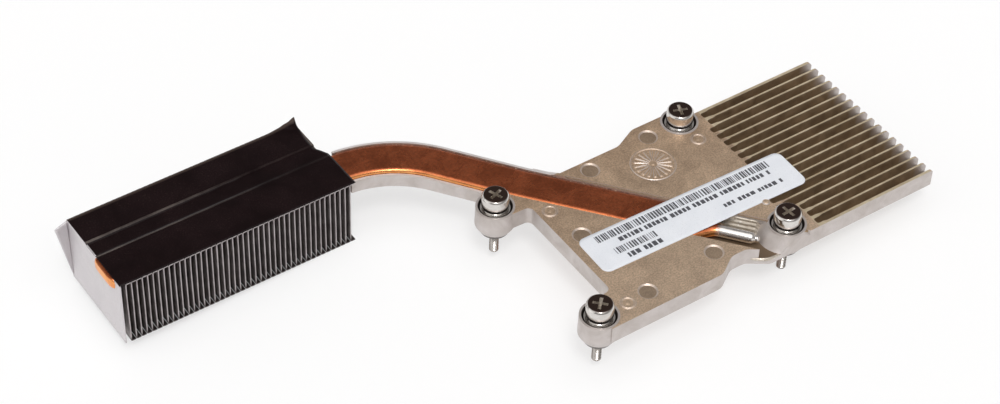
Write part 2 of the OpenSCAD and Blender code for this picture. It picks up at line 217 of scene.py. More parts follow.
def prisms(outlines, low, high, flare=0.0):
    """Upright closed prisms over flat outlines. Their tops may be wider: each
    point moves out from the middle by the flare."""
    points, faces, count = [], [], 0
    for outline in outlines:
        n, rim = len(outline), np.asarray(outline, float)
        away = rim - rim.mean(0)
        wide = rim + flare * away / np.linalg.norm(away, axis=1)[:, None]
        points += [np.c_[rim, np.full(n, low)], np.c_[wide, np.full(n, high)]]
        sides = [list(range(n))[::-1], list(range(n, 2 * n))] + tube_faces(2, n)
        faces += [[count + point for point in side] for side in sides]
        count += 2 * n
    return np.vstack(points), faces


def round_angles(count):
    """Even angles once round."""
    return np.linspace(0, 2 * math.pi, count, endpoint=False)


def circle(centre, radius):
    """Points round a circle."""
    turn = round_angles(48)
    return np.stack([centre[0] + radius * np.cos(turn), centre[1] + radius * np.sin(turn)], 1).tolist()


def carve(piece, points, faces):
    """Cuts a closed shape out of a piece."""
    tool = make_mesh("tool", points, faces, smooth=False)
    cut = piece.modifiers.new("cut", "BOOLEAN")
    cut.operation, cut.solver, cut.object = "DIFFERENCE", "EXACT", tool
    depsgraph = bpy.context.evaluated_depsgraph_get()
    result = bpy.data.meshes.new_from_object(piece.evaluated_get(depsgraph))
    piece.modifiers.clear()
    piece.data = result
    bpy.data.objects.remove(tool)


plate = merged_copy("base_plate", "cast_plate")
pin_marks = [(-1.2, 19.7), (18.3, 21.6), (-16.3, 2.2), (-14.1, -21.8), (7.3, -20.0)]
pin_radius, pin_flare, pin_floor = 2.1, 1.2, plate_top - 0.3
carve(plate, *prisms([circle(c, pin_radius) for c in pin_marks], pin_floor, plate_top + 0.5, pin_flare))

# The channel's back edge is stepped where the run crosses the plate
step_from, step_to, step_in, step_out, step_depth = -22.5, 30.5, 6.9, 7.9, 0.3
step = [(run_along * a + run_across * c).tolist() for a, c in (
    (step_from, step_in), (step_to, step_in), (step_to, step_out), (step_from, step_out))]
carve(plate, *prisms([step], plate_top - step_depth, plate_top + 1))

# The pipe's route, and the lengths along it at which its stretches begin
bend_radius, bend_angle = 30.0, math.radians(53)
back_radius, back_angle = 40.0, math.radians(53 - 50.4)
pipe_y, pipe_z, pipe_left, bend_x, run_off = 55.2, 5.2, -119.7, -55.557, 2.2
corner = np.array([-40.6, pipe_y])
arm_along = np.array([math.cos(bend_angle), -math.sin(bend_angle)])
arm_length = (corner @ run_across - run_off) / -(arm_along @ run_across)
trim = back_radius * math.tan(back_angle / 2)
s_bend = bend_x - pipe_left
s_arm = s_bend + bend_radius * bend_angle
s_back = s_arm + arm_length - bend_radius * math.tan(bend_angle / 2) - trim
s_run = s_back + back_radius * back_angle
s_zero = s_run - ((corner + arm_length * arm_along) @ run_along + trim)


def beside_pipe(s, off):
    """Points in plan at distances to the side of the pipe's centre line. The line
    is a straight, a bend, a straight, a slight bend back and the plate's run."""
    in_bend = np.clip(s - s_bend, 0, bend_radius * bend_angle) / bend_radius
    in_back = np.clip(s - s_back, 0, back_radius * back_angle) / back_radius
    on_arm = np.clip(s - s_arm, 0, s_back - s_arm)
    on_run = np.maximum(s - s_run, 0)
    x = (pipe_left + np.minimum(s, s_bend) + bend_radius * np.sin(in_bend) + on_arm * arm_along[0]
         + back_radius * (math.sin(bend_angle) - np.sin(bend_angle - in_back)) + on_run * run_along[0])
    y = (pipe_y - bend_radius * (1 - np.cos(in_bend)) + on_arm * arm_along[1]
         + back_radius * (math.cos(bend_angle) - np.cos(bend_angle - in_back)) + on_run * run_along[1])
    heading = (in_bend - in_back)[:, None]
    return np.stack([x[:, None] + off * np.sin(heading), y[:, None] + off * np.cos(heading)], -1)


def strip(s, near, far):
    """The outline in plan of a strip between two distances from the centre line."""
    sides = beside_pipe(s, np.array([near, far]))
    return sides[:, 0].tolist() + sides[::-1, 1].tolist()


# The tray's walls stand lower than the pipe, the front one most
front_wall_top, back_wall_top, wall_near, wall_far = 5.75, 6.6, 4.9, 6.6
front_strip = strip(np.linspace(66.9, 107.2, 46), -wall_near, -wall_far)[::-1]
back_strip = strip(np.linspace(66.9, 121.0, 54), wall_near, wall_far)
carve(plate, *prisms([front_strip], front_wall_top, plate_top + 1))
carve(plate, *prisms([back_strip], back_wall_top, plate_top + 1))
groove_count, groove_pitch, first_fin_y, fin_right = 17, 48.36 / 17, -26.6, 72.1
groove_low, groove_top, foot_half, crest_half = 4.2, 7.5, 0.86, 1.23


def groove_wedges():
    """One wedge a groove, a trapezoid wider at its top, carried along x. It grows
    from the groove's start and shaves the fins on both sides to their draft."""
    points, faces = [], []
    for k in range(groove_count):
        y = first_fin_y + (k + 0.5) * groove_pitch
        start = 34.9 if y < -16.9 else 29.9 if y < -7.9 else 33.3 if y < 15.9 else 34.7
        base = len(points)
        for x, low, top in ((start + 0.6, 0.7, 0.7), (start + 3.0, foot_half, crest_half),
                            (fin_right + 0.5, foot_half, crest_half)):
            points += [(x, y - low, groove_low), (x, y + low, groove_low),
                       (x, y + top, groove_top), (x, y - top, groove_top)]
        quads = [quad[::-1] for quad in tube_faces(3, 4)] + [[3, 2, 1, 0], [8, 9, 10, 11]]
        faces += [[base + n for n in quad] for quad in quads]
    return points, faces


def along_y(outline, y_low, y_high):
    """A closed prism over an outline in x and z, carried along y."""
    n = len(outline)
    points = [(x, y, z) for y in (y_low, y_high) for x, z in outline]
    return points, [list(range(n)), list(range(n, 2 * n))[::-1]] + [
        [i, i + n, (i + 1) % n + n, (i + 1) % n] for i in range(n)]


def bevelled(piece, name, width, angle):
    """Rounds a piece's edges that are sharper than an angle."""
    soft = piece.modifiers.new(name, "BEVEL")
    soft.width = width
    soft.segments = 2
    soft.limit_method = "ANGLE"
    soft.angle_limit = math.radians(angle)
    soft.use_clamp_overlap = True


carve(plate, *groove_wedges())
fin_end_cut = [(70.6, 7.6), (70.6, 6.98), (71.25, 6.78), (71.75, 6.35),
               (72.0, 5.8), (72.08, 5.2), (72.9, 5.2), (72.9, 7.6)]
carve(plate, *along_y(fin_end_cut, -28.0, 23.0))
bevelled(plate, "cast_edges", 0.00015, 32)


def variation_group():
    """Fine grain, broad blotches and small specks of a surface, each 0 to 1."""
    group = bpy.data.node_groups.new("surface_variation", "ShaderNodeTree")
    face = group.interface
    face.new_socket("Vector", in_out="INPUT", socket_type="NodeSocketVector")
    noises = (("Grain", {"Detail": 3.0}, None),
              ("Blotch", {"Detail": 5.0, "Roughness": 0.6, "Distortion": 0.6}, (0.33, 0.68)),
              ("Speck", {"Detail": 1.0}, (0.62, 0.72)))
    for name, _, _ in noises:
        face.new_socket(name + " Scale", in_out="INPUT", socket_type="NodeSocketFloat")
        face.new_socket(name, in_out="OUTPUT", socket_type="NodeSocketFloat")
    start = group.nodes.new("NodeGroupInput").outputs
    end = group.nodes.new("NodeGroupOutput").inputs
    for name, settings, spread in noises:
        value = add_node(group, "ShaderNodeTexNoise", {
            "Vector": start["Vector"], "Scale": start[name + " Scale"], **settings}).outputs["Fac"]
        if spread:
            value = add_node(group, "ShaderNodeMapRange", {
                "Value": value, "From Min": spread[0], "From Max": spread[1]}).outputs["Result"]
        group.links.new(value, end[name])
    return group


variation = variation_group()


def varied(tree, grain, blotch, speck):
    """Places the variation group on object coordinates with its three scales."""
    place = add_node(tree, "ShaderNodeTexCoord").outputs
    made = add_node(tree, "ShaderNodeGroup", node_tree=variation)
    tree.links.new(place["Object"], made.inputs["Vector"])
    for name, scale in (("Grain", grain), ("Blotch", blotch), ("Speck", speck)):
        made.inputs[name + " Scale"].default_value = scale
    return place, made.outputs["Grain"], made.outputs["Blotch"], made.outputs["Speck"]


def parts(tree, vector):
    """The sockets X, Y and Z of a vector."""
    return add_node(tree, "ShaderNodeSeparateXYZ", {0: vector}).outputs


def mixed(tree, factor, a, b, blend="MIX"):
    """A colour between two colours or sockets."""
    return add_node(tree, "ShaderNodeMix", {"Factor": factor, "A": a, "B": b},
                    data_type="RGBA", blend_type=blend).outputs["Result"]


def ranged(tree, value, low, high, to_low=0.0, to_high=1.0):
    """A number carried from one range to another and held at its ends."""
    return add_node(tree, "ShaderNodeMapRange", {
        "Value": value, "From Min": low, "From Max": high,
        "To Min": to_low, "To Max": to_high}).outputs["Result"]


def between(tree, mask, low, high):
    """A number from low to high as a mask goes from 0 to 1."""
    return ranged(tree, mask, 0.0, 1.0, low, high)


def bumped(tree, height, strength, distance):
    """A normal raised by a height."""
    return add_node(tree, "ShaderNodeBump", {
        "Height": height, "Strength": strength, "Distance": distance}).outputs["Normal"]


def compared(tree, value, target, reach):
    """1 where a number lies within reach of a target, else 0."""
    return calc(tree, "COMPARE", value, target, reach)


def times(tree, a, b):
    """The product of two masks."""
    return calc(tree, "MULTIPLY", a, b)


def from_screws(tree, at):
    """Distance from the nearest screw's axis, in the plane of the plate."""
    offs = [calc(tree, "SUBTRACT", calc(tree, "ABSOLUTE", at[axis]), half)
            for axis, half in (("X", 0.0285), ("Y", 0.0219))]
    flat = add_node(tree, "ShaderNodeCombineXYZ", dict(enumerate(offs)))
    return add_node(tree, "ShaderNodeVectorMath", {0: flat.outputs[0]}, operation="LENGTH").outputs["Value"]


def surface(tree, colour, metallic, roughness, normal=None, **more):
    """Ends a material in a Principled shader."""
    inputs = {"Base Color": colour, "Metallic": metallic, "Roughness": roughness, **more}
    if normal:
        inputs["Normal"] = normal
    finish_material(tree, add_node(tree, "ShaderNodeBsdfPrincipled", inputs))


cast_metal, tree = new_tree("cast_metal")
place, grain, blotch, speck = varied(tree, 2600.0, 210.0, 2300.0)
at = parts(tree, place["Object"])
at_x, at_y, level = at["X"], at["Y"], at["Z"]
top_mask = ranged(tree, parts(tree, place["Normal"])["Z"], 0.70, 0.97)
in_field = times(tree, ranged(tree, at_x, 0.0290, 0.0300), ranged(tree, at_x, 0.0676, 0.0708, 1.0, 0.0))
in_field = times(tree, in_field, compared(tree, at_y, -0.0024, 0.0242))
groove_mask = times(tree, in_field, ranged(tree, level, 0.00690, 0.00698, 1.0, 0.0))
crest_mask = times(tree, times(tree, ranged(tree, at_x, 0.0345, 0.0350), top_mask),
                   ranged(tree, level, 0.00690, 0.00698))
# Painted highlight: the tray arm's top faces are coloured near white, for the bright lines along its wall tops.
arm_top_highlight = times(tree, ranged(tree, at_y, 0.0232, 0.0236), ranged(tree, at_x, 0.0, 0.001, 1.0, 0.0))
pin_mask = times(tree, compared(tree, level, 0.001 * pin_floor, 0.00004), top_mask)
low_mask = times(tree, top_mask, ranged(tree, level, 0.0044, 0.0050, 1.0, 0.0))
away = from_screws(tree, at)
# Painted shade: the bores round the screws are coloured near black.
bore_shade = ranged(tree, away, 0.00434, 0.00442, 1.0, 0.0)
rim_mask = times(tree, ranged(tree, away, 0.0050, 0.0054, 1.0, 0.0), ranged(tree, level, 0.00704, 0.00712))
stained = mixed(tree, blotch, (0.43, 0.30, 0.202, 1), (0.585, 0.42, 0.288, 1))
stained = mixed(tree, ranged(tree, at_y, -0.030, 0.024, 0.6, 0.0), stained, (0.68, 0.53, 0.395, 1))
stained = mixed(tree, 1.0, stained, mixed(tree, ranged(tree, grain, 0.36, 0.64),
                                          (0.80, 0.80, 0.80, 1), (1.16, 1.15, 1.13, 1)), "MULTIPLY")
stained = mixed(tree, times(tree, speck, between(tree, blotch, 0.1, 0.3)), stained, (0.70, 0.60, 0.48, 1))
stained = mixed(tree, times(tree, pin_mask, 0.55), stained, (0.215, 0.160, 0.112, 1))
stained = mixed(tree, crest_mask, stained, mixed(tree, blotch, (0.56, 0.45, 0.29, 1), (0.80, 0.69, 0.50, 1)))
# Bare metal for the side faces and boss rims. The sides are painted lighter to stand in for the white sheet's
# reflection; the tops keep their real stains.
bare_and_sheen = mixed(tree, blotch, (0.60, 0.55, 0.53, 1), (0.50, 0.45, 0.42, 1))
colour = mixed(tree, top_mask, bare_and_sheen, mixed(tree, arm_top_highlight, stained, (0.86, 0.81, 0.79, 1)))
colour = mixed(tree, low_mask, colour, (0.22, 0.155, 0.10, 1))
colour = mixed(tree, groove_mask, colour, mixed(tree, blotch, (0.29, 0.205, 0.128, 1), (0.47, 0.345, 0.22, 1)))
colour = mixed(tree, rim_mask, colour, bare_and_sheen)
colour = mixed(tree, bore_shade, colour, (0.085, 0.068, 0.058, 1))
surface(tree, colour, 0.7, between(tree, blotch, 0.36, 0.50),
        bumped(tree, calc(tree, "ADD", grain, blotch), 0.35, 0.00008))
plate.data.materials.append(cast_metal)
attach(plate, "cooler")
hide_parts("base_plate")


def polar_relief(name, centre, radius, height_at, rows, columns):
    """A round raised mark: height as a function of distance and angle on a polar
    grid, with a skirt at the rim that goes down into the plate."""
    r, a = np.meshgrid(np.linspace(0.0, radius, rows), round_angles(columns), indexing="ij")
    z = plate_top + height_at(r, a)
    tip = [[centre[0], centre[1], z[0, 0]]]
    r = np.vstack([r, np.full((1, columns), radius + 0.05)])[1:]
    a = np.vstack([a, a[-1:]])[1:]
    z = np.vstack([z, np.full((1, columns), plate_top - 0.1)])[1:]
    rings = np.stack([centre[0] + r * np.cos(a), centre[1] + r * np.sin(a), z], -1).reshape(-1, 3)
    faces = [[quad[0]] + quad[:0:-1] for quad in tube_faces(rows, columns)]
    faces += [[len(rings), j, (j + 1) % columns] for j in range(columns)]
    relief = make_mesh(name, np.vstack([rings, tip]), faces)
    relief.data.materials.append(cast_metal)
    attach(relief, "cooler")


def dial_height(r, a):
    """A ring round the dial and eighteen ridges that widen as they run out."""
    ridge = np.clip(np.cos(a * 18) * 1.4 + 0.3, 0, 1)
    ridge = ridge * np.clip((r - 0.9) / 0.7, 0, 1) * np.clip((5.1 - r) / 0.5, 0, 1)
    ring = np.exp(-((r - 5.6) / 0.17) ** 2)
    hub = np.exp(-(r / 0.45) ** 2)
    return 0.02 + 0.24 * ridge + 0.20 * ring + 0.2 * hub


def ring_height(r, a):
    """A raised ring with a low button in its middle."""
    return 0.01 + 0.22 * np.exp(-((r - 1.65) / 0.2) ** 2) + 0.12 * np.exp(-(r / 0.55) ** 4)


def pip_height(r, a):
    """A round hill as high as 0.4 mm."""
    return 0.02 + 0.4 * np.sqrt(np.clip(1 - r ** 2, 0, 1))


polar_relief("date_dial", (13.4, 12.9), 5.9, dial_height, 44, 216)
for count, centre in enumerate([(28.6, 14.1), (-18.1, 13.2), (-20.4, -22.3)], 1):
    polar_relief(f"cast_ring_{count}", centre, 2.1, ring_height, 18, 48)
polar_relief("cast_pip", (28.8, -13.3), 1.0, pip_height, 10, 32)


def closed_tube(name, grid, sharp_angle=40):
    """A piece from sections that are closed round, capped at both ends."""
    rows, columns = grid.shape[:2]
    faces = tube_faces(rows, columns)
    faces += [list(range(columns))[::-1], [(rows - 1) * columns + j for j in range(columns)]]
    made = make_mesh(name, grid.reshape(-1, 3), faces, sharp_angle=sharp_angle)
    edit_mesh(made, lambda shape: bmesh.ops.recalc_face_normals(shape, faces=shape.faces))
    return made


def join_grid():
    """The last stretch of the tray's back wall: a box section carried beside the
    pipe, whose top climbs to the plate's."""
    s = np.linspace(115.5, 124.0, 18)
    low, high = np.full(len(s), 1.95), np.interp(s, [119.5, 122.5], [6.58, 6.97])
    return np.dstack([beside_pipe(s, np.array([5.25, 6.08, 6.08, 5.25])), np.stack([low, low, high, high], 1)])


tray_join = closed_tube("tray_join", join_grid())
tray_join.data.materials.append(cast_metal)
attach(tray_join, "cooler")

# ---- Heat pipe ----
# A copper tube pressed flat, laid in the tray and soldered. It runs through
# the fin stack; its right end is swaged round, pinched shut and tinned.
half_width, half_thick, stub_radius, tip_length = 5.0, 1.6, 1.5, 2.6
taper_from, taper_to, pipe_end = s_zero + 13.0, s_zero + 19.5, s_zero + 29.7


def pipe_grid():
    """Flattened sections carried along the route, fuller than ellipses and a
    little hollow on top. They turn round over the taper, and the tip is pinched."""
    s = np.unique(np.concatenate([
        np.linspace(0, 1.2, 7), np.linspace(2.0, 64, 40), np.linspace(64.8, 95, 60),
        np.linspace(96, taper_from, 50), np.linspace(taper_from + 0.4, pipe_end - tip_length, 44)]))
    tip = np.sin(np.linspace(0.0, 1.0, 16)[1:] * math.pi / 2) ** 0.9
    s = np.concatenate([s, pipe_end - tip_length + tip_length * tip])
    turn = round_angles(72)[None]
    blend = np.clip((s - taper_from) / (taper_to - taper_from), 0, 1)
    blend = blend * blend * (3 - 2 * blend)
    pinch = np.clip((s - (pipe_end - tip_length)) / tip_length, 0, 1)
    size = np.interp(pinch, [0, 0.25, 0.45, 0.58, 0.68, 0.80, 0.92, 1.0],
                     [1, 0.93, 0.72, 0.56, 0.62, 0.64, 0.44, 0.03])
    size = size * (1 - 0.22 * np.clip(1 - s / 0.8, 0, 1) ** 2)
    half_w = ((half_width + (stub_radius - half_width) * blend) * size)[:, None]
    half_t = ((half_thick + (stub_radius - half_thick) * blend) * size)[:, None]
    blend = blend[:, None]
    fullness = np.where(np.sin(turn) > 0, 0.86, 0.7) * (1 - blend) + blend
    side = np.sign(np.cos(turn)) * np.abs(np.cos(turn)) ** fullness
    rise = np.sign(np.sin(turn)) * np.abs(np.sin(turn)) ** fullness
    flat = np.clip(np.cos(turn) * 2.6, -1, 1) * (1 - blend) + side * blend
    off = (half_w - half_t) * flat + half_t * side
    wave = (0.03 * np.sin(s * 0.31) * np.sin(s * 0.073 + 1) - 0.04)[:, None]
    hollow = np.cos(np.clip(off / half_width, -1, 1) * math.pi / 2) * wave - 0.02
    lift = half_t * rise + np.clip((rise - 0.55) / 0.3, 0, 1) * hollow * (1 - blend)
    return np.dstack([beside_pipe(s, off), pipe_z + lift])


pipe = closed_tube("copper_pipe", pipe_grid(), sharp_angle=50)
copper, tree = new_tree("copper_pipe")
place, grain, blotch, speck = varied(tree, 1500.0, 170.0, 4200.0)
turned = add_node(tree, "ShaderNodeMapping", {"Vector": place["Object"], "Rotation": (0, 0, run_angle)})
along = calc(tree, "ADD", parts(tree, turned.outputs["Vector"])["X"], between(tree, blotch, -0.0006, 0.0006))
tinned = ranged(tree, along, 0.0186, 0.0198)
red = mixed(tree, blotch, (0.37, 0.100, 0.043, 1), (0.54, 0.150, 0.062, 1))
red = mixed(tree, 1.0, red, mixed(tree, ranged(tree, grain, 0.36, 0.64),
                                  (0.86, 0.86, 0.86, 1), (1.14, 1.10, 1.06, 1)), "MULTIPLY")
# Light specks on the copper: painted glints.
red = mixed(tree, times(tree, speck, between(tree, blotch, 0.1, 0.4)), red, (0.70, 0.36, 0.20, 1))
# Painted highlight: the pipe's shoulders, where the normal tilts away from up, are coloured bright orange.
shoulder = ranged(tree, parts(tree, place["Normal"])["Z"], 0.45, 0.90, 1.0, 0.0)
red = mixed(tree, shoulder, red, mixed(tree, blotch, (0.80, 0.30, 0.10, 1), (0.96, 0.46, 0.17, 1)))
tin = mixed(tree, blotch, (0.66, 0.62, 0.59, 1), (0.86, 0.83, 0.80, 1))
surface(tree, mixed(tree, tinned, red, tin), 1.0, between(tree, blotch, 0.22, 0.34),
        bumped(tree, grain, 0.35, 0.00007))
pipe.data.materials.append(copper)
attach(pipe, "cooler")
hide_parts("heat_pipe")

# ---- Solder seams ----
# Solder has run in along both sides of the pipe and closes the gap between its
# round shoulders and the tray's walls; its dark colour is painted shade of that gap.


def seam_grid(s, near, far, low, high):
    """A thin fillet carried along the pipe: its top dips a little between the
    pipe's shoulder and the wall, and its height wavers along the way."""
    z = np.array([high, high - 0.08, high - 0.09, high, low, low])
    off = near + (far - near) * np.array([0.0, 0.3, 0.6, 1.0, 1.0, 0.0])
    waver = 0.04 * np.sin(s * 1.9) * np.sin(s * 0.37 + 0.5)
    return np.dstack([beside_pipe(s, off), z + waver[:, None] * (z > low + 0.1)])


seam_shade, tree = new_tree("seam_gap_shade")
_, grain, blotch, speck = varied(tree, 1700.0, 380.0, 1900.0)
# Painted shade: the seams are coloured dark brown.
gap_shade = mixed(tree, blotch, (0.115, 0.048, 0.030, 1), (0.24, 0.12, 0.08, 1))
surface(tree, mixed(tree, speck, gap_shade, (0.38, 0.25, 0.18, 1)), 0.6, between(tree, blotch, 0.35, 0.55),
        bumped(tree, grain, 0.3, 0.00008))
seam_stop = s_zero + 12.0
for name, s, near, far, low, high in (
        ("seam_back", np.linspace(67.4, seam_stop, 160), 3.9, 5.18, 5.6, 6.28),
        ("seam_front_arm", np.linspace(67.4, 107.5, 90), -4.2, -5.18, 4.9, 5.55),
        ("seam_front_run", np.linspace(107.3, seam_stop, 90), -3.9, -5.18, 5.4, 6.15)):
    seam = closed_tube(name, seam_grid(s, near, far, low, high))
    seam.data.materials.append(seam_shade)
    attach(seam, "cooler")

# ---- Solder bed and pocket lip ----
# Tin solder fills the room that the swaged end leaves beside it and climbs the
# channel's wall in steps. A cast lip closes the pocket at the front edge.
bed_profile = np.array([(1.0, 3.62), (2.2, 3.75), (3.0, 4.1), (3.3, 4.75), (3.9, 4.9), (4.1, 5.45), (4.7, 5.6),
                        (4.85, 6.1), (5.2, 6.25), (5.22, 3.5), (1.0, 3.5)])
bed_from, bed_to, bed_low, channel_half = 17.0, 29.2, 3.5, 5.22


def bed_grid():
    """The stepped profile carried along the run beside the pipe; it sinks at
    both ends and its steps waver a little."""
    along = np.linspace(bed_from, bed_to, 48)[:, None]
    fade = np.clip((along - bed_from) / 2.0, 0, 1) * np.clip((bed_to - along) / 1.6, 0, 1)
    off, top = bed_profile.T
    waver = 0.06 * np.sin(along * 1.7) * np.linspace(0, 1, len(off)) * (top > 3.6)
    off = np.minimum(off + waver, channel_half) + run_off
    height = bed_low + (top - bed_low) * (0.15 + 0.85 * fade ** 0.6)
    return np.dstack([along[..., None] * run_along + off[..., None] * run_across, height])


solder_bed = closed_tube("solder_bed", bed_grid())
solder, tree = new_tree("tin_solder")
_, grain, blotch, speck = varied(tree, 1400.0, 420.0, 1500.0)
tin = mixed(tree, blotch, (0.46, 0.40, 0.33, 1), (0.66, 0.60, 0.52, 1))
surface(tree, mixed(tree, speck, tin, (0.74, 0.70, 0.64, 1)), 0.9, between(tree, blotch, 0.25, 0.42),
        bumped(tree, grain, 0.3, 0.00008))
solder_bed.data.materials.append(solder)
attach(solder_bed, "cooler")


lip_path = np.array([(15.7, -24.2), (16.6, -24.95), (17.5, -25.6), (18.5, -26.25),
                     (19.6, -26.7), (20.9, -26.85), (22.4, -26.9)])
lip_radii, lip_level = np.array([0.2, 0.34, 0.4, 0.4, 0.4, 0.38, 0.3]), 3.55


def lip_grid():
    """A half round bead along the plate's front edge where the channel ends."""
    heading = np.gradient(lip_path, axis=0)
    heading /= np.linalg.norm(heading, axis=1)[:, None]
    out = np.stack([-heading[:, 1], heading[:, 0]], 1)[:, None]
    turn = round_angles(14)
    wide, tall = lip_radii[:, None] * np.cos(turn), lip_radii[:, None] * 1.2 * np.sin(turn)
    return np.dstack([lip_path[:, None] + out * wide[..., None], lip_level + tall])


pocket_lip = closed_tube("pocket_lip", lip_grid())
pocket_lip.data.materials.append(solder)
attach(pocket_lip, "cooler")

# ---- Contact plate ----
# A square of copper let in under the plate; its milled face rests on the
# processor. It is soldered on, and the cutter's fine arcs show on it.
milled, tree = new_tree("milled_copper")
place, _, blotch, speck = varied(tree, 2500.0, 120.0, 800.0)
arcs = add_node(tree, "ShaderNodeTexWave", {
    "Vector": place["Object"], "Scale": 900.0, "Distortion": 1.5,
    "Detail": 1.0, "Detail Scale": 0.6}).outputs["Fac"]
tone = mixed(tree, blotch, (0.62, 0.33, 0.20, 1), (0.72, 0.42, 0.28, 1))
surface(tree, mixed(tree, speck, tone, (0.50, 0.24, 0.14, 1)), 1.0, between(tree, arcs, 0.24, 0.36),
        bumped(tree, arcs, 0.15, 0.00002))
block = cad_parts["contact_plate"]
block.data.materials.clear()
block.data.materials.append(milled)

# ---- Fin stack ----
# Forty-five stamped aluminium fins stand side by side on the pipe. Each has a
# flange folded along its top and bottom that reaches to the next fin.
fin_total, fin_pitch, fin_height, sheet_thick, fold_radius = 45, 1.46, 19.9, 0.30, 0.35
stack_left, stack_front, stack_back, stack_low = -118.997, 47.6, 74.7, -12.9
fin_low, fin_high = stack_low + sheet_thick / 2, stack_low + fin_height - sheet_thick / 2
notch_front, notch_back, notch_floor, relief_back = 50.1, 60.3, 3.4, 65.0


def bent_sheet(y_values, high, x_web, reach, top_reach):
    """A sheet seen from its edge: a web with a flange at its foot and, where the
    top reach isn't nought, one at its top. Both folds are quarter rounds."""
    quarter = fold_radius * (1 - np.sin(np.linspace(0, math.pi / 2, 4)))
    climb = fold_radius * (1 - np.cos(np.linspace(0, math.pi / 2, 4)))
    path = [(reach, fin_low), *zip(quarter, fin_low + climb)]
    path += [(0.0, z) for z in np.linspace(fin_low + fold_radius, high - fold_radius, 9)[1:-1]]
    if top_reach:
        path += zip(climb, high - quarter)
    out, up = np.array(path + [(top_reach, high)]).T
    x, y = np.meshgrid(x_web + out, y_values, indexing="ij")
    return np.dstack([x, y, np.broadcast_to(up[:, None], x.shape)])


def grid_faces(rows, columns, start=0):
    """Quads of an open grid whose points begin at a given index."""
    i, j = np.meshgrid(np.arange(rows - 1), np.arange(columns - 1), indexing="ij")
    a = start + i * columns + j
    return np.stack([a, a + 1, a + columns + 1, a + columns], -1).reshape(-1, 4).tolist()


def fin_sheets(seed):
    """The bands of each fin from front to back: in front of the pipe, under it,
    behind it, and the flanged back. Each fin leans a little its own way."""
    rng = np.random.default_rng(seed)
    reach = fin_pitch - sheet_thick / 2 - 0.02
    points, faces, count = [], [], 0
    bands = [(np.linspace(stack_front, notch_front, 3), fin_high, reach),
             (np.linspace(notch_front, notch_back, 5), notch_floor, 0.0),
             (np.linspace(notch_back, relief_back, 3), fin_high - 0.5, 0.0),
             (np.linspace(relief_back, stack_back, 5), fin_high, reach)]
    for k in range(1, fin_total):
        x_web = stack_left + k * fin_pitch + sheet_thick / 2
        bow, wave, _ = rng.normal(0, 0.03, 3)
        for number, (y_values, top, flange) in enumerate(bands):
            if k == fin_total - 1 and number == 3:
                flange = 0.0
            grid = bent_sheet(y_values, top, x_web, reach, flange)
            depth = (fin_high - grid[..., 2]) / fin_height
            front = (grid[..., 1] - stack_front) / (stack_back - stack_front)
            lean = bow * np.sin(depth * math.pi) + wave * np.sin(depth * 2 * math.pi)
            grid[..., 0] += lean * (1 - 0.6 * front)
            points.append(grid.reshape(-1, 3))
            faces += grid_faces(grid.shape[0], grid.shape[1], count)
            count += grid.shape[0] * grid.shape[1]
    return np.vstack(points), faces


def thicken(piece, thickness):
    """Gives a single sheet its wall, half on each side."""
    wall = piece.modifiers.new("wall", "SOLIDIFY")
    wall.thickness = thickness * 0.001
    wall.offset = 0.0
    wall.use_even_offset = False


fins = make_mesh("stamped_fins", *fin_sheets(5), smooth=False)
edit_mesh(fins, lambda shape: bmesh.ops.remove_doubles(shape, verts=shape.verts, dist=1e-6))
thicken(fins, sheet_thick)
fin_metal, tree = new_tree("fin_sheet")
place, grain, blotch, _ = varied(tree, 2200.0, 330.0, 1500.0)
at = parts(tree, place["Object"])
# Painted shade: the bottom flanges are coloured near black, for the dark between the fins' feet.
foot = ranged(tree, at["Z"], -0.01225, -0.0112, 1.0, 0.0)
# Painted shade: the fins are darker from 2 mm in behind the front edge, where they stand close together.
inside = ranged(tree, at["Y"], 0.0478, 0.0500)
bright = mixed(tree, blotch, (0.33, 0.295, 0.295, 1), (0.50, 0.46, 0.46, 1))
between_fins_shade = mixed(tree, blotch, (0.16, 0.13, 0.115, 1), (0.24, 0.20, 0.18, 1))
surface(tree, mixed(tree, foot, mixed(tree, inside, bright, between_fins_shade), (0.075, 0.060, 0.060, 1)), 0.8,
        between(tree, blotch, 0.34, 0.5), bumped(tree, grain, 0.15, 0.00004))
fins.data.materials.append(fin_metal)
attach(fins, "cooler")
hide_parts(*[f"fins_{k:02d}" for k in range(1, 23)])

# ---- End fin ----
# The first fin closes the stack on its left. Its face is plain and lighter
# than the edges, and a triangular flap stands out at its back edge.
flap_width, flap_droop, flap_curl = 3.75, 1.15, 0.35


def end_fin_grid():
    """The end fin as a grid over y and z that bows a little."""
    y, z = np.meshgrid(np.linspace(stack_front, stack_back, 28), np.linspace(fin_low, fin_high, 21),
                       indexing="ij")
    bow = 0.05 * np.sin((y - stack_front) * 0.35) * np.sin((z - stack_low) * 0.3)
    return np.stack([stack_left + sheet_thick / 2 + bow, y, z], -1)


def flap_grid():
    """The flap at the back: strips from the fin's back edge outwards to a slant
    line that starts at the foot; it curls backwards towards its free edge."""
    up, out = np.linspace(0, 1, 18)[:, None], np.linspace(0, 1, 7)[None]
    x = stack_left + sheet_thick / 2 - flap_width * up ** 0.9 * out
    y = stack_back - sheet_thick / 2 - flap_curl * out ** 2 * up
    z = fin_low + sheet_thick / 2 + (fin_high - fin_low - sheet_thick) * up - flap_droop * out * up ** 2
    return np.stack([x, y, z], -1)


